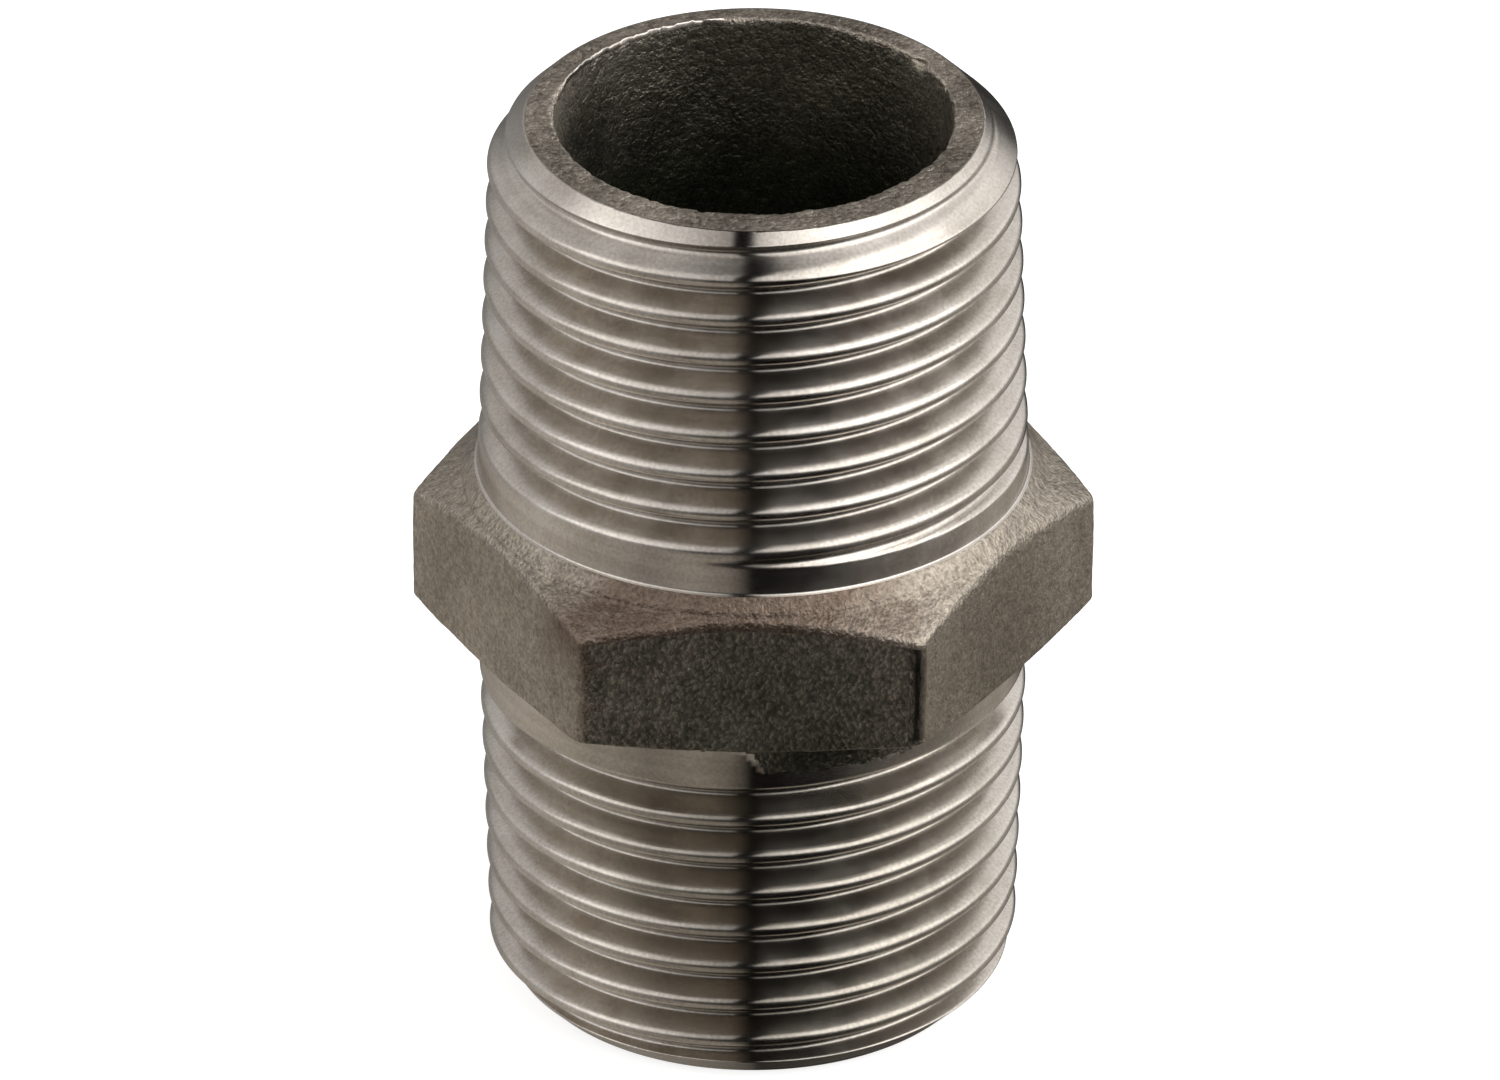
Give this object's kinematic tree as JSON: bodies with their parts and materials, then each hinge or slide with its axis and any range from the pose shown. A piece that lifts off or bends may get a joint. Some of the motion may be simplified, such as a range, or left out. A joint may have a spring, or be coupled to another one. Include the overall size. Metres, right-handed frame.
{
  "type": "hex nipple",
  "caption": "Short steel pipe connector: a plain through bore, an outside taper pipe thread on each end and a spanner hexagon between them.",
  "frame": {"origin": "centre of the lower end face, on the axis of the bore", "axes": "+Z along the bore from the lower end to the upper end; one flat of the hexagon faces -Y and two corners lie on the X axis"},
  "size_m": [0.021, 0.0184, 0.0297],
  "materials": {
    "cast_stainless": "as-cast grain on the hexagon and in the bore, machined satin on the threads, necks and end faces"
  },
  "bodies": {
    "root": {"nipple_body": "cast_stainless"}
  },
  "joints": []
}
